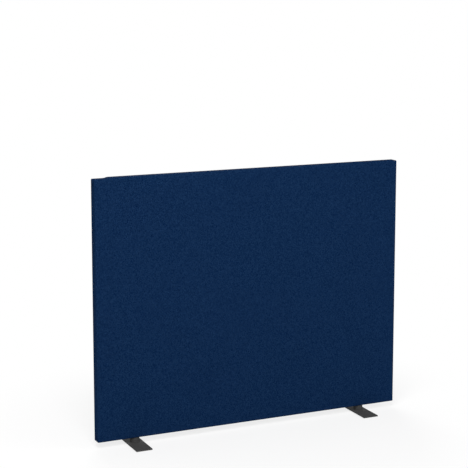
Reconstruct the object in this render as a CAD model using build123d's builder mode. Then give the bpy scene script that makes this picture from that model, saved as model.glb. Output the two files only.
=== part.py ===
from build123d import *
import os

os.makedirs("parts", exist_ok=True)

# A freestanding office screen: a fabric-covered panel on two flat steel feet.
# The origin is on the floor, under the middle of the panel. X runs along the panel,
# the front faces -Y, and Z is up. All lengths are in millimetres.

# Whole screen
screen_width = 1500
screen_height = 1200
panel_thickness = 50
floor_gap = 30  # from the floor to the panel's underside

# Upholstery, from the outside in
fabric_thickness = 1
padding_thickness = 8
wadding_thickness = 4  # soft strip over the ends and the top of the frame
corner_relief_length = 58  # the top strip stops this far short of the left corner
corner_ramp_length = 14
flange_width = 30  # the front cover's edge, turned over the rear board
hem_width = 15  # the rear cover's edge, turned in over that flange
tack_strip_thickness = 1

# Staples that hold the front cover's flange
staple_crown = 10
staple_wire_width = 1.2
staple_wire_thickness = 0.6
staple_leg_length = 8
staple_inset = 22  # from the panel's outside to the row of staples
staples_along_width = 12
staples_along_height = 9

# Timber frame and its boards
board_thickness = 3
rail_height = 45
stile_width = 45
stud_width = 45
bay_count = 4
infill_clearance = 0.5
foot_block_length = 150

# Wood screws of the frame
screw_diameter = 4.5
screw_length = 80
screw_head_diameter = 8.5
screw_head_height = 3
screw_head_clearance = 0.5  # round each head in its bore
screw_head_sink = 1  # from the mouth of the bore to the top of the head
screw_tip_cover = 1  # timber left beyond the screws' tips
screw_pitch = 22  # between the two screws of one joint
fit_clearance = 0.1  # round each screw and insert

# Feet
foot_length = 250
foot_width = 75
foot_inset = 180  # from the panel's end to the middle of a foot
plate_thickness = 5
plate_corner_radius = 2
plate_edge_radius = 0.6
pad_thickness = 1.5
pad_diameter = 20
pad_inset = 16  # from the plate's edges to the middle of a pad
spacer_diameter = 42.4
spacer_wall = 2.6

# Foot screws and the threaded inserts that they run into
bolt_diameter = 8
bolt_hole_clearance = 0.5  # round each bolt in the plate and the cover
bolt_head_diameter = 15.5
bolt_head_clearance = 0.25  # round each head in its countersink
bolt_pitch = 22
bolt_engagement = 20  # length of bolt inside the rail
socket_width = 5  # across the flats of the hexagon
socket_depth = 2.5
insert_diameter = 12
insert_length = 25

# Depths of the layers, measured either way from the panel's middle
frame_thickness = panel_thickness - 2 * (fabric_thickness + padding_thickness + board_thickness)
frame_face = frame_thickness / 2
board_face = frame_face + board_thickness
padding_face = board_face + padding_thickness
cover_face = padding_face + fabric_thickness
flange_face = board_face + fabric_thickness
hem_face = flange_face + fabric_thickness
tack_strip_face = hem_face + tack_strip_thickness
crown_face = flange_face + staple_wire_thickness

# Edges of the panel and of its frame
half_width = screen_width / 2
frame_half_width = half_width - fabric_thickness - wadding_thickness
bay_half_width = frame_half_width - stile_width
frame_bottom = floor_gap + fabric_thickness
frame_top = screen_height - fabric_thickness - wadding_thickness
bay_bottom = frame_bottom + rail_height
bay_top = frame_top - rail_height
bay_pitch = 2 * bay_half_width / bay_count
tack_strip_width = hem_width - fabric_thickness - wadding_thickness

# Bores of the frame's screws, and the blocks that are as high as those screws need
screw_bore_diameter = screw_head_diameter + 2 * screw_head_clearance
screw_bore_depth = screw_head_height + screw_head_sink
foot_block_height = screw_bore_depth + screw_length + screw_tip_cover - rail_height
foot_block_top = bay_bottom + foot_block_height

# Feet
bolt_hole_diameter = bolt_diameter + 2 * bolt_hole_clearance
bolt_sink_diameter = bolt_head_diameter + 2 * bolt_head_clearance
plate_top = pad_thickness + plate_thickness
spacer_height = floor_gap - plate_top
bolt_length = plate_thickness + spacer_height + fabric_thickness + bolt_engagement
foot_centre = half_width - foot_inset


def facing_front(depth):
    """An upright plane at this depth. Sketches on it are drawn in X and Z, and extrude to the front."""
    return Plane.XZ.offset(-depth)


def upright_rectangle(left, right, bottom, top):
    with Locations(((left + right) / 2, (bottom + top) / 2)):
        Rectangle(right - left, top - bottom)


def panel_outline(margin):
    """The panel's outline, drawn in by a margin. The top dips where the top wadding stops short."""
    dip_top = screen_height - wadding_thickness
    dip_end = corner_relief_length - half_width
    Polygon(
        (-half_width, floor_gap),
        (half_width, floor_gap),
        (half_width, screen_height),
        (dip_end + corner_ramp_length, screen_height),
        (dip_end, dip_top),
        (-half_width, dip_top),
    )
    if margin > 0:
        offset(amount=-margin, kind=Kind.INTERSECTION)


def bolt_places(height):
    """The places of the foot bolts at one height, drilled upwards."""
    places = []
    for foot_x in (-foot_centre, foot_centre):
        for bolt_x in (foot_x - bolt_pitch / 2, foot_x + bolt_pitch / 2):
            places.append(Plane(origin=(bolt_x, 0, height), z_dir=(0, 0, -1)))
    return places


# Places of the frame's screws, each on the outer face that it is driven from
stud_centres = [(bay - bay_count / 2) * bay_pitch for bay in range(1, bay_count)]
rail_middles = (frame_bottom + rail_height / 2, frame_top - rail_height / 2)
end_screw_places = []
for side in (-1, 1):
    for rail_middle in rail_middles:
        for lift in (-screw_pitch / 2, screw_pitch / 2):
            place = (side * frame_half_width, 0, rail_middle + lift)
            end_screw_places.append(Plane(origin=place, z_dir=(side, 0, 0)))
top_screw_places = []
bottom_screw_places = []
for upright_x in stud_centres:
    for shift in (-screw_pitch / 2, screw_pitch / 2):
        place_x = upright_x + shift
        top_screw_places.append(Plane(origin=(place_x, 0, frame_top), z_dir=(0, 0, 1)))
        bottom_screw_places.append(Plane(origin=(place_x, 0, frame_bottom), z_dir=(0, 0, -1)))
for side in (-1, 1):
    for reach in (-1, 1):
        place_x = side * foot_centre + reach * foot_block_length / 3
        bottom_screw_places.append(Plane(origin=(place_x, 0, frame_bottom), z_dir=(0, 0, -1)))


def screw_bores(places):
    """Counterbored holes in the member that the screw heads sit in."""
    with Locations(*places):
        CounterBoreHole(
            radius=screw_diameter / 2 + fit_clearance,
            counter_bore_radius=screw_bore_diameter / 2,
            counter_bore_depth=screw_bore_depth,
            depth=screw_bore_depth + screw_length + fit_clearance,
        )


def pilot_holes(places):
    """Holes in the member that the screws run into."""
    with Locations(*places):
        Hole(
            radius=screw_diameter / 2 + fit_clearance,
            depth=screw_bore_depth + screw_length + fit_clearance,
        )


# Staples: a crown on the flange, and two legs through it into the board and the frame
with BuildPart() as staple:
    with BuildSketch(facing_front(crown_face)):
        Rectangle(staple_crown, staple_wire_width)
    extrude(amount=staple_wire_thickness)
    leg_reach = (staple_crown - staple_wire_thickness) / 2
    with BuildSketch(facing_front(flange_face)):
        with Locations((-leg_reach, 0), (leg_reach, 0)):
            Rectangle(staple_wire_thickness, staple_wire_width)
    extrude(amount=staple_leg_length)

staple_row_half_width = half_width - staple_inset
staple_row_bottom = floor_gap + staple_inset
staple_row_top = screen_height - staple_inset
width_step = 2 * staple_row_half_width / staples_along_width
height_step = (staple_row_top - staple_row_bottom) / staples_along_height
staple_places = []
for number in range(staples_along_width):
    staple_x = (number + 1 / 2) * width_step - staple_row_half_width
    for staple_z in (staple_row_bottom, staple_row_top):
        staple_places.append(Location((staple_x, 0, staple_z)))
for number in range(staples_along_height):
    staple_z = (number + 1 / 2) * height_step + staple_row_bottom
    for staple_x in (-staple_row_half_width, staple_row_half_width):
        staple_places.append(Location((staple_x, 0, staple_z), (0, 90, 0)))

with BuildPart() as cover_staples:
    with Locations(*staple_places):
        add(staple.part)
cover_staples.part.label = "cover_staples"
export_step(cover_staples.part, "parts/cover_staples.step")


def finish_piece(builder, name):
    """Labels a finished piece and writes it."""
    builder.part.label = name
    export_step(builder.part, "parts/" + name + ".step")


# Frame: two stiles with two rails between them, and studs between the rails
for side, name in ((-1, "left_stile"), (1, "right_stile")):
    with BuildPart() as stile:
        with BuildSketch(Plane.XY.offset(frame_bottom)):
            with Locations((side * (frame_half_width - stile_width / 2), 0)):
                Rectangle(stile_width, frame_thickness)
        extrude(amount=frame_top - frame_bottom)
        screw_bores([place for place in end_screw_places if place.origin.X * side > 0])
        add(cover_staples.part, mode=Mode.SUBTRACT)
    finish_piece(stile, name)

with BuildPart() as top_rail:
    with BuildSketch(Plane.XY.offset(bay_top)):
        Rectangle(2 * bay_half_width, frame_thickness)
    extrude(amount=rail_height)
    screw_bores(top_screw_places)
    pilot_holes(end_screw_places)
    add(cover_staples.part, mode=Mode.SUBTRACT)
finish_piece(top_rail, "top_rail")

with BuildPart() as bottom_rail:
    with BuildSketch(Plane.XY.offset(frame_bottom)):
        Rectangle(2 * bay_half_width, frame_thickness)
    extrude(amount=rail_height)
    screw_bores(bottom_screw_places)
    pilot_holes(end_screw_places)
    with Locations(*bolt_places(frame_bottom)):
        Hole(radius=insert_diameter / 2 + fit_clearance, depth=insert_length + fit_clearance)
    add(cover_staples.part, mode=Mode.SUBTRACT)
finish_piece(bottom_rail, "bottom_rail")

for stud_x, name in zip(stud_centres, ("left_stud", "centre_stud", "right_stud")):
    with BuildPart() as stud:
        with BuildSketch(Plane.XY.offset(bay_bottom)):
            with Locations((stud_x, 0)):
                Rectangle(stud_width, frame_thickness)
        extrude(amount=bay_top - bay_bottom)
        pilot_holes(top_screw_places + bottom_screw_places)
    finish_piece(stud, name)

# Blocks that stiffen the bottom rail over each foot
for side, name in ((-1, "left_foot_block"), (1, "right_foot_block")):
    with BuildPart() as foot_block:
        with BuildSketch(Plane.XY.offset(bay_bottom)):
            with Locations((side * foot_centre, 0)):
                Rectangle(foot_block_length, frame_thickness)
        extrude(amount=foot_block_height)
        pilot_holes(bottom_screw_places)
    finish_piece(foot_block, name)

# Screws of the frame, all alike, each with its head at the bottom of its bore
with BuildPart() as wood_screw:
    with BuildSketch(Plane.XY.offset(-screw_bore_depth)):
        Circle(screw_head_diameter / 2)
    extrude(amount=screw_head_height)
    fillet(wood_screw.edges().group_by(Axis.Z)[-1], screw_head_height / 3)
    with BuildSketch(Plane.XY.offset(-screw_bore_depth)):
        Circle(screw_diameter / 2)
    extrude(amount=-screw_length)
    chamfer(wood_screw.edges().group_by(Axis.Z)[0], screw_diameter / 3)

with BuildPart() as frame_screws:
    with Locations(*(end_screw_places + top_screw_places + bottom_screw_places)):
        add(wood_screw.part)
finish_piece(frame_screws, "frame_screws")

# Sound-absorbing infill in each bay, cut out round the foot blocks
infill_names = ("far_left_infill", "left_infill", "right_infill", "far_right_infill")
for bay, name in enumerate(infill_names):
    bay_left = bay * bay_pitch - bay_half_width
    bay_right = bay_left + bay_pitch
    left_frame = 0 if bay == 0 else stud_width / 2
    right_frame = 0 if bay == bay_count - 1 else stud_width / 2
    with BuildPart() as infill:
        with BuildSketch(facing_front(frame_face)):
            upright_rectangle(
                bay_left + left_frame + infill_clearance,
                bay_right - right_frame - infill_clearance,
                bay_bottom + infill_clearance,
                bay_top - infill_clearance,
            )
        extrude(amount=frame_thickness)
        block_reach = foot_block_length / 2 + infill_clearance
        with BuildSketch(facing_front(frame_face)):
            for block_x in (-foot_centre, foot_centre):
                upright_rectangle(
                    block_x - block_reach,
                    block_x + block_reach,
                    bay_bottom,
                    foot_block_top + infill_clearance,
                )
        extrude(amount=frame_thickness, mode=Mode.SUBTRACT)
    finish_piece(infill, name)

# Boards glued to both sides of the frame
for rear_depth, name in ((-frame_face, "front_board"), (board_face, "rear_board")):
    with BuildPart() as board:
        with BuildSketch(facing_front(rear_depth)):
            upright_rectangle(-frame_half_width, frame_half_width, frame_bottom, frame_top)
        extrude(amount=board_thickness)
        add(cover_staples.part, mode=Mode.SUBTRACT)
    finish_piece(board, name)

# Wadding over the two ends of the frame, and over its top
for side, name in ((-1, "left_wadding"), (1, "right_wadding")):
    with BuildPart() as end_wadding:
        with BuildSketch(Plane.XY.offset(frame_bottom)):
            with Locations((side * (frame_half_width + wadding_thickness / 2), 0)):
                Rectangle(wadding_thickness, 2 * board_face)
        extrude(amount=frame_top - frame_bottom)
    finish_piece(end_wadding, name)

with BuildPart() as top_wadding:
    with BuildSketch(facing_front(board_face)):
        panel_outline(fabric_thickness)
    extrude(amount=2 * board_face)
    with BuildSketch(facing_front(board_face)):
        upright_rectangle(-half_width, half_width, floor_gap, frame_top)
    extrude(amount=2 * board_face, mode=Mode.SUBTRACT)
finish_piece(top_wadding, "top_wadding")

# Padding on both faces. The rear one is drawn in where it lies over the covers' turned edges.
with BuildPart() as front_padding:
    with BuildSketch(facing_front(-board_face)):
        panel_outline(fabric_thickness)
    extrude(amount=padding_thickness)
finish_piece(front_padding, "front_padding")

with BuildPart() as rear_padding:
    with BuildSketch(facing_front(padding_face)):
        panel_outline(fabric_thickness)
    extrude(amount=padding_face - tack_strip_face)
    with BuildSketch(facing_front(tack_strip_face)):
        panel_outline(hem_width)
    extrude(amount=tack_strip_face - crown_face)
    with BuildSketch(facing_front(crown_face)):
        panel_outline(flange_width)
    extrude(amount=crown_face - board_face)
finish_piece(rear_padding, "rear_padding")

# Front cover: one sheet over the front and the edges, turned over the rear board
with BuildPart() as front_cover:
    with BuildSketch(facing_front(flange_face)):
        panel_outline(0)
    extrude(amount=flange_face + cover_face)
    with BuildSketch(facing_front(board_face)):
        panel_outline(fabric_thickness)
    extrude(amount=board_face + padding_face, mode=Mode.SUBTRACT)
    with BuildSketch(facing_front(flange_face)):
        panel_outline(flange_width)
    extrude(amount=fabric_thickness, mode=Mode.SUBTRACT)
    with Locations(*bolt_places(floor_gap)):
        Hole(radius=bolt_hole_diameter / 2, depth=fabric_thickness)
    add(cover_staples.part, mode=Mode.SUBTRACT)
finish_piece(front_cover, "front_cover")

# Rear cover: a sheet over the rear padding, with a hem turned in over the flange
with BuildPart() as rear_cover:
    with BuildSketch(facing_front(cover_face)):
        panel_outline(0)
    extrude(amount=cover_face - flange_face)
    with BuildSketch(facing_front(padding_face)):
        panel_outline(fabric_thickness)
    extrude(amount=padding_face - hem_face, mode=Mode.SUBTRACT)
    with BuildSketch(facing_front(hem_face)):
        panel_outline(hem_width)
    extrude(amount=fabric_thickness, mode=Mode.SUBTRACT)
finish_piece(rear_cover, "rear_cover")

# Stiff strips that give the rear cover's hem a straight edge
strip_left = -frame_half_width
strip_right = frame_half_width
strip_bottom = floor_gap + hem_width - tack_strip_width
strip_outlines = (
    ("top_tack_strip", strip_left, strip_right, frame_top - tack_strip_width, frame_top),
    ("bottom_tack_strip", strip_left, strip_right, strip_bottom, strip_bottom + tack_strip_width),
    (
        "left_tack_strip",
        strip_left,
        strip_left + tack_strip_width,
        strip_bottom + tack_strip_width,
        frame_top - tack_strip_width,
    ),
    (
        "right_tack_strip",
        strip_right - tack_strip_width,
        strip_right,
        strip_bottom + tack_strip_width,
        frame_top - tack_strip_width,
    ),
)
for name, left, right, bottom, top in strip_outlines:
    with BuildPart() as tack_strip:
        with BuildSketch(facing_front(tack_strip_face)):
            upright_rectangle(left, right, bottom, top)
        extrude(amount=tack_strip_thickness)
    finish_piece(tack_strip, name)

# Feet: a flat plate, a round spacer that carries the panel, and four pads underneath
for side, name in ((-1, "left_foot_plate"), (1, "right_foot_plate")):
    with BuildPart() as foot_plate:
        with BuildSketch(Plane.XY.offset(pad_thickness)):
            with Locations((side * foot_centre, 0)):
                RectangleRounded(foot_width, foot_length, plate_corner_radius)
        extrude(amount=plate_thickness)
        fillet(foot_plate.edges().group_by(Axis.Z)[-1], plate_edge_radius)
        with Locations(*[place for place in bolt_places(pad_thickness) if place.origin.X * side > 0]):
            CounterSinkHole(
                radius=bolt_hole_diameter / 2,
                counter_sink_radius=bolt_sink_diameter / 2,
                depth=plate_thickness,
                counter_sink_angle=90,
            )
    finish_piece(foot_plate, name)

for side, name in ((-1, "left_spacer"), (1, "right_spacer")):
    with BuildPart() as spacer:
        with BuildSketch(Plane.XY.offset(plate_top)):
            with Locations((side * foot_centre, 0)):
                Circle(spacer_diameter / 2)
                Circle(spacer_diameter / 2 - spacer_wall, mode=Mode.SUBTRACT)
        extrude(amount=spacer_height)
    finish_piece(spacer, name)

for side, name in ((-1, "left_foot_pads"), (1, "right_foot_pads")):
    with BuildPart() as foot_pads:
        with BuildSketch(Plane.XY):
            with Locations((side * foot_centre, 0)):
                with GridLocations(foot_width - 2 * pad_inset, foot_length - 2 * pad_inset, 2, 2):
                    Circle(pad_diameter / 2)
        extrude(amount=pad_thickness)
    finish_piece(foot_pads, name)

# Foot bolts, with flush heads under the plates, and the inserts in the bottom rail
with BuildPart() as bolt:
    head_height = (bolt_head_diameter - bolt_diameter) / 2
    with BuildSketch(Plane.XZ):
        with BuildLine():
            Polyline(
                (0, 0),
                (bolt_head_diameter / 2, 0),
                (bolt_diameter / 2, head_height),
                (bolt_diameter / 2, bolt_length),
                (0, bolt_length),
                close=True,
            )
        make_face()
    revolve(axis=Axis.Z)
    with BuildSketch(Plane.XY):
        RegularPolygon(socket_width / 2, side_count=6, major_radius=False)
    extrude(amount=socket_depth, mode=Mode.SUBTRACT)

with BuildPart() as foot_bolts:
    with Locations(*[place.origin for place in bolt_places(pad_thickness)]):
        add(bolt.part)
finish_piece(foot_bolts, "foot_bolts")

with BuildPart() as threaded_inserts:
    with BuildSketch(Plane.XY.offset(frame_bottom)):
        for place in bolt_places(frame_bottom):
            with Locations((place.origin.X, place.origin.Y)):
                Circle(insert_diameter / 2)
                Circle(bolt_diameter / 2 + fit_clearance, mode=Mode.SUBTRACT)
    extrude(amount=insert_length)
finish_piece(threaded_inserts, "threaded_inserts")
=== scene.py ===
from math import pi, radians

import bmesh
import bpy
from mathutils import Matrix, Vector


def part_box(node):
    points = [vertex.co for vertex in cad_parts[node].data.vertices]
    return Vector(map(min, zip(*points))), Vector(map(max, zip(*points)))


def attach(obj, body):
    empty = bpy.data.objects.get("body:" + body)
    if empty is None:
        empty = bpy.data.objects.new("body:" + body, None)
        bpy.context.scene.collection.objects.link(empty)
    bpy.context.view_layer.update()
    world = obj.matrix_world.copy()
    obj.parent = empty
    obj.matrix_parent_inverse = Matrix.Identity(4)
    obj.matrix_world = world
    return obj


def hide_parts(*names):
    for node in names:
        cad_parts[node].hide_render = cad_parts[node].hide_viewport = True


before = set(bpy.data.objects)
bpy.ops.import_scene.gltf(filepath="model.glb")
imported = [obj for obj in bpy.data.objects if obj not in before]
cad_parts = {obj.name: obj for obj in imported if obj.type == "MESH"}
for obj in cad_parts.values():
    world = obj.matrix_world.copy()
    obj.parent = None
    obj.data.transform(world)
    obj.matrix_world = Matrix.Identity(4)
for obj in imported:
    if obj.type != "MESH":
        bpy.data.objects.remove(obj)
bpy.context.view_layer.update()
bpy.ops.object.select_all(action="DESELECT")
scene = bpy.context.scene
print("frame loaded,", len(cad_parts), "nodes")

# Places that several pieces share, all read from the frame, in metres
frontLow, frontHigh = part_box("front_cover")
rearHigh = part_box("rear_cover")[1]
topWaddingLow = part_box("top_wadding")[0]
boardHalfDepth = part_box("rear_board")[1].y
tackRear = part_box("top_tack_strip")[1].y
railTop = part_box("top_rail")[1].z
seamY = frontHigh.y  # the two covers meet here, all round the panel
nearly = 1e-5
sharpTurn = 1.0  # an edge is sharp where its faces turn by more than this, in radians

view = {
    "place": (-2.693, -5.670, 2.047),
    "turn": 24.719,  # degrees to the right of straight ahead
    "dip": 8.253,  # degrees below level
    "lens": 108.3,
    "shiftY": -0.11,
    "farEnd": 100,
}


def makeCamera():
    bpy.ops.object.camera_add(
        location=view["place"],
        rotation=(radians(90 - view["dip"]), 0, radians(-view["turn"])),
    )
    camera = bpy.context.object
    camera.data.lens = view["lens"]
    camera.data.shift_y = view["shiftY"]
    camera.data.clip_end = view["farEnd"]
    scene.camera = camera


class Wire:
    # One output socket of a material. Sums written with it add Math nodes.
    def __init__(self, tree, socket=None):
        self.tree = tree
        self.socket = socket

    def node(self, kind, settings=None, values=None, output=0):
        made = self.tree.nodes.new(kind)
        for name, value in (settings or {}).items():
            setattr(made, name, value)
        for name, value in (values or {}).items():
            if isinstance(value, Wire):
                self.tree.links.new(value.socket, made.inputs[name])
            else:
                made.inputs[name].default_value = value
        return Wire(self.tree, made.outputs[output] if made.outputs else None)

    def other(self, output):
        return Wire(self.tree, self.socket.node.outputs[output])

    def sum(self, operation, first, second=0.0):
        return self.node("ShaderNodeMath", {"operation": operation}, {0: first, 1: second})

    def __add__(self, other):
        return self.sum("ADD", self, other)

    __radd__ = __add__

    def __sub__(self, other):
        return self.sum("SUBTRACT", self, other)

    def __rsub__(self, other):
        return self.sum("SUBTRACT", other, self)

    def __mul__(self, other):
        return self.sum("MULTIPLY", self, other)

    __rmul__ = __mul__

    def __gt__(self, other):
        return self.sum("GREATER_THAN", self, other)


def startMaterial(name):
    material = bpy.data.materials.new(name)
    material.use_nodes = True
    material.node_tree.nodes.clear()
    return material, Wire(material.node_tree)


def finishMaterial(wire, sockets):
    shader = wire.node("ShaderNodeBsdfPrincipled", {}, sockets)
    wire.node("ShaderNodeOutputMaterial", {}, {"Surface": shader})


def blendColours(wire, factor, first, second):
    values = {0: factor, 6: first, 7: second}
    return wire.node("ShaderNodeMix", {"data_type": "RGBA"}, values, output=2)


def objectPlaces(wire, stretch=(1, 1, 1)):
    places = wire.node("ShaderNodeTexCoord", output=3)
    return wire.node("ShaderNodeMapping", {}, {"Vector": places, "Scale": stretch})


def vectorSum(wire, operation, values, output=0):
    return wire.node("ShaderNodeVectorMath", {"operation": operation}, values, output)


def noise(wire, places, scale, detail=2.0, roughness=0.5, output=0):
    values = {"Vector": places, "Scale": scale, "Detail": detail, "Roughness": roughness}
    return wire.node("ShaderNodeTexNoise", {}, values, output)


def chanceAt(wire, dimensions, **place):
    socket, value = next(iter(place.items()))
    return wire.node("ShaderNodeTexWhiteNoise", {"noise_dimensions": dimensions}, {socket: value})


def bump(wire, height, relief):
    return wire.node("ShaderNodeBump", {}, {"Height": height, "Distance": relief, "Strength": 1.0})


coverCloth = {
    "yarn": 0.0014,
    "wander": 0.0013,  # how far a yarn strays from its straight line
    "wanderScale": 450.0,
    "flips": 0.3,  # share of the crossings where the plain weave is broken, as in a crepe
    "dyeRun": 4,  # the dye changes along a yarn after this many crossings
    "dyeContrast": 1.5,
    "clouds": 150.0,  # softer patches of shade, to the metre
    "cloudContrast": 0.8,
    "gapPaintedShade": 0.8,  # painted shade: how much darker the gaps between the yarns are painted, as if the yarns shaded them
    "meanHeight": 0.55,  # the height of a yarn at which the painted shade is nil, so its colour stays as dyed
    "fibres": 5000.0,
    "fibreStretch": 0.2,  # the fibres' marks run along their yarn
    "fibreContrast": 1.2,
    "fibreHeight": 0.3,  # against that of the yarns
    "darkest": (0.0010, 0.0100, 0.0426, 1),
    "lightest": (0.0094, 0.0308, 0.0846, 1),
    "swings": 5.0,  # slow changes of shade over the cloth, to the metre
    "swingShare": 0.05,
    "roughness": 0.9,
    "specular": 0.004,
    "sheen": 0.006,
    "sheenTint": (0.25, 0.5, 0.9, 1),
    "sheenRoughness": 0.5,
    "relief": 0.0002,
}


def dyeAlong(wire, along, yarn, seed):
    # The shade of one yarn at a crossing, which changes now and then along its length
    run = wire.sum("FLOOR", along * (1 / coverCloth["dyeRun"]) + chanceAt(wire, "1D", W=yarn + seed))
    place = wire.node("ShaderNodeCombineXYZ", {}, {0: run + seed, 1: yarn})
    return chanceAt(wire, "2D", Vector=place)


def makeCoverCloth():
    material, wire = startMaterial("coverCloth")
    lay = wire.node("ShaderNodeUVMap", {"uv_map": "cloth"})
    stray = noise(wire, lay, coverCloth["wanderScale"], detail=3.0, roughness=0.6, output=1)
    stray = vectorSum(wire, "SUBTRACT", {0: stray, 1: (0.5, 0.5, 0.5)})
    stray = vectorSum(wire, "SCALE", {0: stray, "Scale": coverCloth["wander"]})
    strayed = vectorSum(wire, "ADD", {0: lay, 1: stray})
    counted = vectorSum(wire, "SCALE", {0: strayed, "Scale": 1 / coverCloth["yarn"]})
    crossing = vectorSum(wire, "FLOOR", {0: counted})
    within = vectorSum(wire, "FRACTION", {0: counted})
    warp = wire.node("ShaderNodeSeparateXYZ", {}, {0: crossing})
    weft = warp.other(1)
    across = wire.node("ShaderNodeSeparateXYZ", {}, {0: within})
    along = across.other(1)

    # Plain weave, in which chance turns some crossings over: 1 where the warp yarn lies on top
    plain = wire.sum("PINGPONG", warp + weft, 1.0)
    flip = chanceAt(wire, "2D", Vector=crossing) > 1 - coverCloth["flips"]
    over = plain + flip - 2 * (plain * flip)
    under = 1 - over
    warpRound = wire.sum("SINE", across * pi)
    weftRound = wire.sum("SINE", along * pi)
    height = over * warpRound * (weftRound * 0.5 + 0.5) + under * weftRound * (warpRound * 0.5 + 0.5)

    stretch = coverCloth["fibreStretch"]
    upward = vectorSum(wire, "MULTIPLY", {0: strayed, 1: (1, stretch, 1)})
    sideways = vectorSum(wire, "MULTIPLY", {0: strayed, 1: (stretch, 1, 1)})
    warpFibre = noise(wire, upward, coverCloth["fibres"])
    weftFibre = noise(wire, sideways, coverCloth["fibres"])
    fibre = over * warpFibre + under * weftFibre
    dye = over * dyeAlong(wire, weft, warp, 0.0) + under * dyeAlong(wire, warp, weft, 0.5)
    clouds = noise(wire, lay, coverCloth["clouds"], detail=3.0, roughness=0.7)
    tone = (dye - 0.5) * coverCloth["dyeContrast"] + (clouds - 0.5) * coverCloth["cloudContrast"] + 0.5
    # Painted shade: the low parts of the weave, the gaps between the yarns, are darkened in the colour
    tone = tone + (height - coverCloth["meanHeight"]) * coverCloth["gapPaintedShade"]
    tone = tone + (fibre - 0.5) * coverCloth["fibreContrast"]
    colour = blendColours(wire, tone, coverCloth["darkest"], coverCloth["lightest"])
    slow = noise(wire, lay, coverCloth["swings"], detail=3.0)
    swing = (slow - 0.5) * (2 * coverCloth["swingShare"]) + 1
    finishMaterial(wire, {
        "Base Color": vectorSum(wire, "SCALE", {0: colour, "Scale": swing}),
        "Roughness": coverCloth["roughness"],
        "Specular IOR Level": coverCloth["specular"],
        "Sheen Weight": coverCloth["sheen"],
        "Sheen Roughness": coverCloth["sheenRoughness"],
        "Sheen Tint": coverCloth["sheenTint"],
        "Normal": bump(wire, height + fibre * coverCloth["fibreHeight"], coverCloth["relief"]),
    })
    return material


felt = {
    "paddingFelt": ((0.43, 0.43, 0.42, 1), (0.71, 0.71, 0.69, 1)),  # its darkest and palest shades
    "infillFelt": ((0.35, 0.35, 0.33, 1), (0.57, 0.57, 0.55, 1)),
    "hairs": 900.0,
    "clumps": 60.0,
    "hairShare": 0.6,
    "roughness": 0.95,
    "sheen": 0.2,
    "relief": 0.0008,
}


def makeFelt(name):
    material, wire = startMaterial(name)
    places = objectPlaces(wire)
    hairs = noise(wire, places, felt["hairs"], detail=3.0, roughness=0.7)
    clumps = noise(wire, places, felt["clumps"])
    tone = hairs * felt["hairShare"] + clumps * (1 - felt["hairShare"])
    finishMaterial(wire, {
        "Base Color": blendColours(wire, tone, *felt[name]),
        "Roughness": felt["roughness"],
        "Sheen Weight": felt["sheen"],
        "Normal": bump(wire, hairs + clumps, felt["relief"]),
    })
    return material


timber = {
    "pale": (0.60, 0.42, 0.24, 1),
    "dark": (0.38, 0.22, 0.10, 1),
    "rings": 70.0,  # growth rings to the metre, across the grain
    "stretch": 0.06,  # how much slower the grain changes along its length
    "bends": 8.0,  # to the metre
    "bendDepth": 3.0,  # how far a bend carries the rings, in rings
    "pores": 900.0,
    "ringShare": 0.6,
    "roughness": 0.6,
    "poreRoughness": 0.2,
    "relief": 0.0002,
}


def makeTimber(name, alongGrain):
    material, wire = startMaterial(name)
    places = objectPlaces(wire, tuple(timber["stretch"] if axis == alongGrain else 1.0 for axis in "XYZ"))
    bend = noise(wire, places, timber["bends"], detail=3.0)
    pores = noise(wire, places, timber["pores"])
    across = wire.node("ShaderNodeSeparateXYZ", {}, {0: places}, output=1)
    turns = (across * timber["rings"] + bend * timber["bendDepth"]) * (2 * pi)
    rings = wire.sum("SINE", turns) * 0.5 + 0.5
    tone = rings * timber["ringShare"] + pores * (1 - timber["ringShare"])
    finishMaterial(wire, {
        "Base Color": blendColours(wire, tone, timber["pale"], timber["dark"]),
        "Roughness": pores * timber["poreRoughness"] + timber["roughness"],
        "Normal": bump(wire, tone, timber["relief"]),
    })
    return material


pressedFibre = {
    "hardboard": ((0.36, 0.22, 0.12, 1), (0.22, 0.12, 0.06, 1)),
    "tackCard": ((0.56, 0.47, 0.35, 1), (0.44, 0.35, 0.24, 1)),
    "chips": 700.0,
    "clouds": 12.0,
    "chipShare": 0.75,
    "roughness": 0.7,
    "chipRoughness": 0.2,
    "relief": 0.00015,
}


def makePressedFibre(name):
    material, wire = startMaterial(name)
    places = objectPlaces(wire)
    chips = noise(wire, places, pressedFibre["chips"], detail=4.0, roughness=0.75)
    clouds = noise(wire, places, pressedFibre["clouds"])
    tone = chips * pressedFibre["chipShare"] + clouds * (1 - pressedFibre["chipShare"])
    finishMaterial(wire, {
        "Base Color": blendColours(wire, tone, *pressedFibre[name]),
        "Roughness": chips * pressedFibre["chipRoughness"] + pressedFibre["roughness"],
        "Normal": bump(wire, chips, pressedFibre["relief"]),
    })
    return material


powderCoat = {
    "dark": (0.052, 0.052, 0.052, 1),
    "pale": (0.075, 0.075, 0.075, 1),
    "peel": 650.0,  # the fine unevenness of a baked coat
    "specks": 2400.0,
    "clouds": 30.0,
    "peelShare": 0.4,
    "speckShare": 0.35,
    "roughness": 0.62,
    "peelRoughness": 0.2,
    "specular": 0.01,
    "speckHeight": 0.4,  # against that of the peel
    "relief": 0.00012,
}


def makePowderCoat():
    material, wire = startMaterial("powderCoat")
    places = objectPlaces(wire)
    peel = noise(wire, places, powderCoat["peel"])
    specks = noise(wire, places, powderCoat["specks"], detail=1.0)
    clouds = noise(wire, places, powderCoat["clouds"])
    cloudShare = 1 - powderCoat["peelShare"] - powderCoat["speckShare"]
    tone = peel * powderCoat["peelShare"] + specks * powderCoat["speckShare"] + clouds * cloudShare
    finishMaterial(wire, {
        "Base Color": blendColours(wire, tone, powderCoat["dark"], powderCoat["pale"]),
        "Roughness": (peel - 0.5) * powderCoat["peelRoughness"] + powderCoat["roughness"],
        "Specular IOR Level": powderCoat["specular"],
        "Normal": bump(wire, specks * powderCoat["speckHeight"] + peel, powderCoat["relief"]),
    })
    return material


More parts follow.
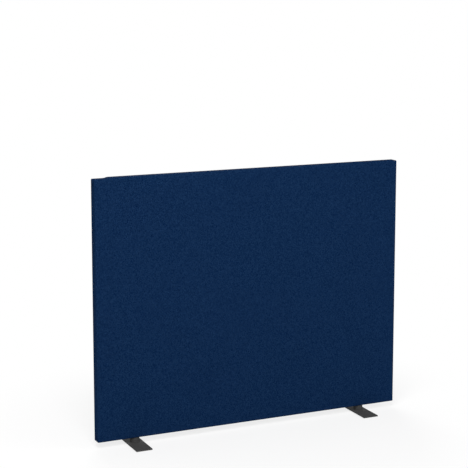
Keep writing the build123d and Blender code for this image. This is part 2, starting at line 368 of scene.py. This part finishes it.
brightSteel = {
    "zincSteel": ((0.62, 0.63, 0.64, 1), (0.48, 0.49, 0.50, 1)),
    "stapleWire": ((0.70, 0.70, 0.71, 1), (0.56, 0.56, 0.57, 1)),
    "scratches": 3000.0,
    "stretch": 0.1,  # how much slower the scratches change along the drawing
    "clouds": 220.0,
    "roughness": 0.28,
    "scratchRoughness": 0.2,
    "relief": 0.00003,
}


def makeBrightSteel(name, drawnAlong):
    material, wire = startMaterial(name)
    stretch = tuple(brightSteel["stretch"] if axis == drawnAlong else 1.0 for axis in "XYZ")
    scratches = noise(wire, objectPlaces(wire, stretch), brightSteel["scratches"])
    clouds = noise(wire, objectPlaces(wire), brightSteel["clouds"])
    finishMaterial(wire, {
        "Base Color": blendColours(wire, clouds, *brightSteel[name]),
        "Metallic": 1.0,
        "Roughness": scratches * brightSteel["scratchRoughness"] + brightSteel["roughness"],
        "Normal": bump(wire, scratches, brightSteel["relief"]),
    })
    return material


padRubber = {
    "dark": (0.018, 0.018, 0.018, 1),
    "pale": (0.034, 0.034, 0.034, 1),
    "grains": 1500.0,
    "roughness": 0.75,
    "grainRoughness": 0.15,
    "relief": 0.0001,
}


def makePadRubber():
    material, wire = startMaterial("padRubber")
    grains = noise(wire, objectPlaces(wire), padRubber["grains"], detail=3.0)
    finishMaterial(wire, {
        "Base Color": blendColours(wire, grains, padRubber["dark"], padRubber["pale"]),
        "Roughness": grains * padRubber["grainRoughness"] + padRubber["roughness"],
        "Normal": bump(wire, grains, padRubber["relief"]),
    })
    return material


def startEditing(piece):
    bpy.ops.object.select_all(action="DESELECT")
    piece.select_set(True)
    bpy.context.view_layer.objects.active = piece
    bpy.ops.object.mode_set(mode="EDIT")


def stopEditing():
    bpy.ops.object.mode_set(mode="OBJECT")


def pick(piece, kind, test):
    bpy.ops.mesh.select_all(action="DESELECT")
    bpy.ops.mesh.select_mode(type=kind)
    model = bmesh.from_edit_mesh(piece.data)
    for part in {"VERT": model.verts, "EDGE": model.edges, "FACE": model.faces}[kind]:
        part.select_set(test(part))
    model.select_flush_mode()
    bmesh.update_edit_mesh(piece.data)


def applyModifier(piece, kind, **settings):
    bpy.context.view_layer.objects.active = piece
    modifier = piece.modifiers.new(kind.lower(), kind)
    for name, value in settings.items():
        setattr(modifier, name, value)
    bpy.ops.object.modifier_apply(modifier=modifier.name)


def copyPiece(piece, name):
    made = piece.copy()
    made.data = piece.data.copy()
    made.name = name
    scene.collection.objects.link(made)
    return made


cloth = {
    "cell": 0.018,
    "thickness": 0.001,
    "slack": 0.0012,  # a cover's face starts this far inside its outline, and swells
    "mostSwell": 0.0016,
    "swellingRim": 0.8,  # share of the edge's rounding that swells with the face
    "edgeSteps": 3,
    "seamRadius": 0.0022,
    "seamSteps": 2,
    "ramp": 0.014,  # the top's dip at its left end runs out over this length
    "smoothUpTo": 50,  # degrees
    "frames": 20,
    "quality": 6,
    "pressure": 0.08,
    "mass": 0.4,
    "stretchStiffness": 80,
    "shearStiffness": 40,
    "bendStiffness": 5,
}
frontShape = {"facing": -1, "wallSteps": 3, "edgeRadius": 0.005, "turnedIn": 0.03}
rearShape = {"facing": 1, "wallSteps": 1, "edgeRadius": 0.0038, "turnedIn": 0.015}


def dipShare(x):
    share = min(1, max(0, (topWaddingLow.x + cloth["ramp"] - x) / cloth["ramp"]))
    return share * share * (3 - 2 * share)


def makeShell(name, faceY, shape):
    low = Vector((frontLow.x, seamY, frontLow.z))
    high = Vector((frontHigh.x, faceY - shape["facing"] * cloth["slack"], frontHigh.z))
    width = high.x - low.x
    height = high.z - low.z
    depth = high.y - seamY
    middle = Vector(((low.x + high.x) / 2, seamY, (low.z + high.z) / 2))
    bpy.ops.mesh.primitive_grid_add(
        x_subdivisions=round(width / cloth["cell"]),
        y_subdivisions=round(height / cloth["cell"]),
        size=1,
        location=middle,
        rotation=(pi / 2, 0, pi if shape["facing"] > 0 else 0),
    )
    shell = bpy.context.object
    shell.name = name
    shell.scale = (width, height, 1)
    bpy.ops.object.transform_apply(location=True, rotation=True, scale=True)

    startEditing(shell)
    for cut in (topWaddingLow.x, topWaddingLow.x + cloth["ramp"]):
        bpy.ops.mesh.select_all(action="SELECT")
        bpy.ops.mesh.bisect(plane_co=(cut, 0, 0), plane_no=(1, 0, 0))
    bpy.ops.mesh.select_all(action="SELECT")
    move = (0, depth / shape["wallSteps"], 0)
    for step in range(shape["wallSteps"]):
        bpy.ops.mesh.extrude_region_move(TRANSFORM_OT_translate={"value": move})
    pick(shell, "FACE", lambda face: all(abs(v.co.y - seamY) < nearly for v in face.verts))
    bpy.ops.mesh.delete(type="FACE")

    # Sharp edges are rounded, and the rim is turned in flat behind the panel
    pick(shell, "EDGE", lambda edge: edge.is_manifold and edge.calc_face_angle(0) > sharpTurn)
    bpy.ops.mesh.bevel(offset=shape["edgeRadius"], segments=cloth["edgeSteps"], affect="EDGES")
    pick(shell, "EDGE", lambda edge: edge.is_boundary)
    bpy.ops.mesh.extrude_region_move()
    inset = (1 - 2 * shape["turnedIn"] / width, 1, 1 - 2 * shape["turnedIn"] / height)
    bpy.ops.transform.resize(value=inset, center_override=middle)
    pick(shell, "EDGE", lambda edge: edge.is_manifold and edge.calc_face_angle(0) > sharpTurn
         and all(abs(v.co.y - seamY) < nearly for v in edge.verts))
    bpy.ops.mesh.bevel(offset=cloth["seamRadius"], segments=cloth["seamSteps"], affect="EDGES")
    bpy.ops.mesh.select_all(action="SELECT")
    bpy.ops.mesh.normals_make_consistent(inside=False)
    stopEditing()

    dip = high.z - railTop - cloth["thickness"]
    for vertex in shell.data.vertices:
        if vertex.co.z > high.z - cloth["cell"] / 2:
            vertex.co.z -= dip * dipShare(vertex.co.x)
    print(name, "shaped,", len(shell.data.polygons), "faces")
    return shell


def swell(shell, shape):
    # Only the face and its rounded rim can swell: the rest is drawn tight over the frame
    rim = max(abs(vertex.co.y) for vertex in shell.data.vertices)
    rim -= cloth["swellingRim"] * shape["edgeRadius"]
    held = shell.vertex_groups.new(name="held")
    firm = [vertex.index for vertex in shell.data.vertices if vertex.co.y * shape["facing"] < rim]
    held.add(firm, 1.0, "REPLACE")
    start = [vertex.co.copy() for vertex in shell.data.vertices]
    modifier = shell.modifiers.new("cloth", "CLOTH")
    settings = modifier.settings
    settings.quality = cloth["quality"]
    settings.mass = cloth["mass"]
    settings.tension_stiffness = cloth["stretchStiffness"]
    settings.compression_stiffness = cloth["stretchStiffness"]
    settings.shear_stiffness = cloth["shearStiffness"]
    settings.bending_stiffness = cloth["bendStiffness"]
    settings.use_pressure = True
    settings.uniform_pressure_force = cloth["pressure"]
    settings.vertex_group_mass = held.name
    settings.effector_weights.gravity = 0
    modifier.point_cache.frame_start = 1
    modifier.point_cache.frame_end = cloth["frames"]
    for number in range(1, cloth["frames"] + 1):
        scene.frame_set(number)
    bpy.context.view_layer.objects.active = shell
    bpy.ops.object.modifier_apply(modifier=modifier.name)
    moves = [vertex.co - place for vertex, place in zip(shell.data.vertices, start)]
    for vertex, place, move in zip(shell.data.vertices, start, moves):
        if move.length > cloth["mostSwell"]:
            vertex.co = place + move * (cloth["mostSwell"] / move.length)
    shell.vertex_groups.clear()
    furthest = max(move.length for move in moves)
    capped = sum(move.length > cloth["mostSwell"] for move in moves)
    print(shell.name, "swelled up to", round(furthest, 4), "m,", capped, "of", len(moves), "points capped")


def layCloth(piece):
    # The cloth's own map, in metres: flat over the face, and carried on over each folded edge
    layer = piece.data.uv_layers.new(name="cloth")
    for face in piece.data.polygons:
        onEnd = abs(face.normal.x) > max(abs(face.normal.y), abs(face.normal.z))
        onTop = abs(face.normal.z) > max(abs(face.normal.y), abs(face.normal.x))
        for loop in face.loop_indices:
            place = piece.data.vertices[piece.data.loops[loop].vertex_index].co
            past = place.y - frontLow.y
            across = place.x + (past if place.x > 0 else -past) * onEnd
            up = place.z + past * onTop
            layer.data[loop].uv = (across, up)


def smoothOver(piece, degrees):
    bpy.ops.object.select_all(action="DESELECT")
    piece.select_set(True)
    bpy.context.view_layer.objects.active = piece
    bpy.ops.object.shade_smooth_by_angle(angle=radians(degrees))


def addPadded(piece, node, material):
    piece.data.materials.clear()
    piece.data.materials.append(material)
    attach(piece, "root")
    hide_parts(node)


paddingGap = 0.0011  # from the cover's outer side to the padding, just over the cloth


def makePadding(shell, name, cutY, facing):
    padding = copyPiece(shell, name)
    startEditing(padding)
    bpy.ops.mesh.select_all(action="SELECT")
    bpy.ops.transform.shrink_fatten(value=-paddingGap)
    bpy.ops.mesh.select_all(action="SELECT")
    bpy.ops.mesh.bisect(plane_co=(0, cutY, 0), plane_no=(0, -facing, 0), clear_outer=True, use_fill=True)
    bpy.ops.mesh.select_all(action="SELECT")
    bpy.ops.mesh.normals_make_consistent(inside=False)
    stopEditing()
    return padding


def deepenPadding(padding, cutY, newY):
    # The rear padding is thin over the turned edges and fills the space between them
    startEditing(padding)
    pick(padding, "FACE", lambda face: all(abs(v.co.y - cutY) < nearly for v in face.verts))
    bpy.ops.mesh.inset(thickness=rearShape["turnedIn"] + cloth["seamRadius"])
    bpy.ops.mesh.extrude_region_move(TRANSFORM_OT_translate={"value": (0, newY - cutY, 0)})
    stopEditing()


def finishCover(shell, node, material):
    applyModifier(shell, "SUBSURF", levels=1, render_levels=1)
    applyModifier(shell, "SOLIDIFY", thickness=cloth["thickness"], offset=-1)
    layCloth(shell)
    smoothOver(shell, cloth["smoothUpTo"])
    shell.data.materials.append(material)
    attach(shell, "root")
    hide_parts(node)


fold = {
    "cell": 0.003,
    "proud": 0.0018,  # a fold is two thicknesses of cloth
    "tuck": 0.004,  # the fold comes out of the cover over this length, at the panel's edge
    "sink": 0.0002,  # it starts this deep in the cover
    "margin": 0.0008,  # it stops this far short of the seam
    "smoothUpTo": 60,  # degrees
}


def makeFold(name, cover, side, up, material):
    # Spare cloth at a corner, folded over the panel's end in a mitre
    endX = frontHigh.x if side > 0 else frontLow.x
    edgeZ = frontHigh.z if up > 0 else frontLow.z
    if up > 0 and side < 0:
        edgeZ = railTop + cloth["thickness"]
    reach = seamY - fold["margin"] - frontLow.y
    middle = Vector((endX, seamY - fold["margin"] - reach / 2, edgeZ - up * reach / 2))
    bpy.ops.mesh.primitive_grid_add(
        x_subdivisions=round(reach / fold["cell"]),
        y_subdivisions=round(reach / fold["cell"]),
        size=reach,
        location=middle,
        rotation=(0, side * pi / 2, 0),
    )
    flap = bpy.context.object
    flap.name = name
    bpy.ops.object.transform_apply(location=True, rotation=True, scale=True)
    startEditing(flap)
    bpy.ops.mesh.select_all(action="SELECT")
    bpy.ops.mesh.bisect(plane_co=middle, plane_no=(0, -1, -up), clear_outer=True)
    stopEditing()
    applyModifier(flap, "SHRINKWRAP", target=cover)
    for vertex in flap.data.vertices:
        fromEdge = (edgeZ - vertex.co.z) * up
        rise = min(1, fromEdge / fold["tuck"])
        vertex.co.x += side * (rise * rise * (fold["proud"] + fold["sink"]) - fold["sink"])
    applyModifier(flap, "SOLIDIFY", thickness=cloth["thickness"], offset=-1)
    applyModifier(flap, "SUBSURF", levels=1, render_levels=1)
    # Each fold shows another stretch of the same cloth
    layer = flap.data.uv_layers.new(name="cloth")
    for loop in flap.data.loops:
        place = flap.data.vertices[loop.vertex_index].co
        layer.data[loop.index].uv = (place.z + side, place.y + up)
    smoothOver(flap, fold["smoothUpTo"])
    flap.data.materials.append(material)
    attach(flap, "root")
    return flap


softCopies = {
    "flatWithin": 1,  # faces that turn by less than this are one face, in degrees
    "shrink": 0.0007,
    "edgeRadius": 0.0012,
    "edgeSteps": 3,
    "smoothUpTo": 50,  # degrees
}


def softenNode(node, name, material):
    # A plain soft node keeps its shape and gets a rounded edge
    piece = copyPiece(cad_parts[node], name)
    for key in list(piece.keys()):
        del piece[key]
    piece.parent = None
    startEditing(piece)
    bpy.ops.mesh.select_all(action="SELECT")
    bpy.ops.mesh.remove_doubles(threshold=nearly)
    bpy.ops.mesh.dissolve_limited(angle_limit=radians(softCopies["flatWithin"]))
    bpy.ops.mesh.select_all(action="SELECT")
    bpy.ops.transform.shrink_fatten(value=-softCopies["shrink"], use_even_offset=True)
    bpy.ops.mesh.bevel(offset=softCopies["edgeRadius"], segments=softCopies["edgeSteps"], affect="EDGES")
    stopEditing()
    smoothOver(piece, softCopies["smoothUpTo"])
    addPadded(piece, node, material)


def dress(nodes, material):
    for name in nodes:
        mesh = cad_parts[name].data
        mesh.materials.clear()
        mesh.materials.append(material)


floorLook = {
    "size": 12.0,
    "colour": (0.72, 0.72, 0.71, 1),
    "shadowShare": 0.3,  # how much of the floor's own shading shows beside the screen
    "seenColour": (0.98, 0.98, 0.98, 1),  # the camera sees it paler, as white where no shadow falls
    "reach": 1.5,  # it fades out this far from the middle
}


def makeFloor():
    bpy.ops.mesh.primitive_plane_add(size=floorLook["size"])
    floor = bpy.context.object
    floor.name = "studioFloor"
    material, wire = startMaterial("studioFloor")
    away = vectorSum(wire, "LENGTH", {0: objectPlaces(wire)}, output=1)
    near = wire.node("ShaderNodeMapRange", {"interpolation_type": "SMOOTHSTEP"}, {
        "Value": away, 1: floorLook["reach"] / 2, 2: floorLook["reach"], 3: 1.0, 4: 0.0})
    rays = wire.node("ShaderNodeLightPath")
    seen = rays.other("Is Camera Ray") + rays.other("Is Glossy Ray") + rays.other("Is Transmission Ray")
    colour = blendColours(wire, seen, floorLook["colour"], floorLook["seenColour"])
    matte = wire.node("ShaderNodeBsdfDiffuse", {}, {"Color": colour})
    white = wire.node("ShaderNodeEmission", {}, {"Color": (1, 1, 1, 1), "Strength": 1.0})
    share = seen * (1 - near * floorLook["shadowShare"])
    mixed = wire.node("ShaderNodeMixShader", {}, {0: share, 1: matte, 2: white})
    wire.node("ShaderNodeOutputMaterial", {}, {"Surface": mixed})
    floor.data.materials.append(material)


lamps = {
    "key": {"place": (-1.9, -2.9, 3.7), "aim": (0, 0, 0.8), "size": 2.6, "power": 157},
    "fill": {"place": (3.6, -2.6, 1.8), "aim": (0, 0, 0.5), "size": 3.0, "power": 64},
    "back": {"place": (0.8, 4.2, 2.2), "aim": (0, 0, 0.6), "size": 3.0, "power": 108},
}
worldLevel = 0.38


def makeLamps():
    for name, lamp in lamps.items():
        aim = Vector(lamp["aim"]) - Vector(lamp["place"])
        bpy.ops.object.light_add(type="AREA", location=lamp["place"])
        light = bpy.context.object
        light.name = name + "Lamp"
        light.rotation_euler = aim.to_track_quat("-Z", "Y").to_euler()
        light.data.size = lamp["size"]
        light.data.energy = lamp["power"]


def makeWorld():
    world = bpy.data.worlds.new("studio")
    world.use_nodes = True
    world.node_tree.nodes.clear()
    scene.world = world
    wire = Wire(world.node_tree)
    rays = wire.node("ShaderNodeLightPath")
    seen = rays.other("Is Camera Ray") + rays.other("Is Glossy Ray") + rays.other("Is Transmission Ray")
    strength = seen * (1 - worldLevel) + worldLevel
    glow = wire.node("ShaderNodeBackground", {}, {"Color": (1, 1, 1, 1), "Strength": strength})
    wire.node("ShaderNodeOutputWorld", {}, {"Surface": glow})
    scene.view_settings.view_transform = "Standard"


makeCamera()
makeFloor()
makeLamps()
makeWorld()
print("view and light set")

clothMaterial = makeCoverCloth()
paddingFelt = makeFelt("paddingFelt")
infillFelt = makeFelt("infillFelt")

frontCover = makeShell("frontCover", frontLow.y, frontShape)
swell(frontCover, frontShape)
rearCover = makeShell("rearCover", rearHigh.y, rearShape)
swell(rearCover, rearShape)

frontPadding = makePadding(frontCover, "frontPadding", -boardHalfDepth, -1)
addPadded(frontPadding, "front_padding", paddingFelt)
rearPadding = makePadding(rearCover, "rearPadding", tackRear, 1)
deepenPadding(rearPadding, tackRear, boardHalfDepth)
addPadded(rearPadding, "rear_padding", paddingFelt)

finishCover(frontCover, "front_cover", clothMaterial)
finishCover(rearCover, "rear_cover", clothMaterial)
folds = [
    makeFold("topLeftFold", frontCover, -1, 1, clothMaterial),
    makeFold("topRightFold", frontCover, 1, 1, clothMaterial),
    makeFold("bottomLeftFold", frontCover, -1, -1, clothMaterial),
    makeFold("bottomRightFold", frontCover, 1, -1, clothMaterial),
]
print("covers and their padding done")

softenNode("top_wadding", "topWadding", paddingFelt)
softenNode("left_wadding", "leftWadding", paddingFelt)
softenNode("right_wadding", "rightWadding", paddingFelt)
softenNode("far_left_infill", "farLeftInfill", infillFelt)
softenNode("left_infill", "leftInfill", infillFelt)
softenNode("right_infill", "rightInfill", infillFelt)
softenNode("far_right_infill", "farRightInfill", infillFelt)
print("wadding and infill done")

hardboard = makePressedFibre("hardboard")
tackCard = makePressedFibre("tackCard")
zincSteel = makeBrightSteel("zincSteel", "Z")
stapleWire = makeBrightSteel("stapleWire", "X")
dress(("top_rail", "bottom_rail"), makeTimber("railTimber", "X"))
uprights = ("left_stile", "right_stile", "left_stud", "centre_stud", "right_stud")
dress(uprights, makeTimber("uprightTimber", "Z"))
dress(("left_foot_block", "right_foot_block"), makeTimber("blockTimber", "X"))
dress(("front_board", "rear_board"), hardboard)
dress(("top_tack_strip", "bottom_tack_strip", "left_tack_strip", "right_tack_strip"), tackCard)
dress(("left_foot_plate", "right_foot_plate", "left_spacer", "right_spacer"), makePowderCoat())
dress(("frame_screws", "foot_bolts", "threaded_inserts"), zincSteel)
dress(("cover_staples",), stapleWire)
dress(("left_foot_pads", "right_foot_pads"), makePadRubber())
print("carried pieces dressed")
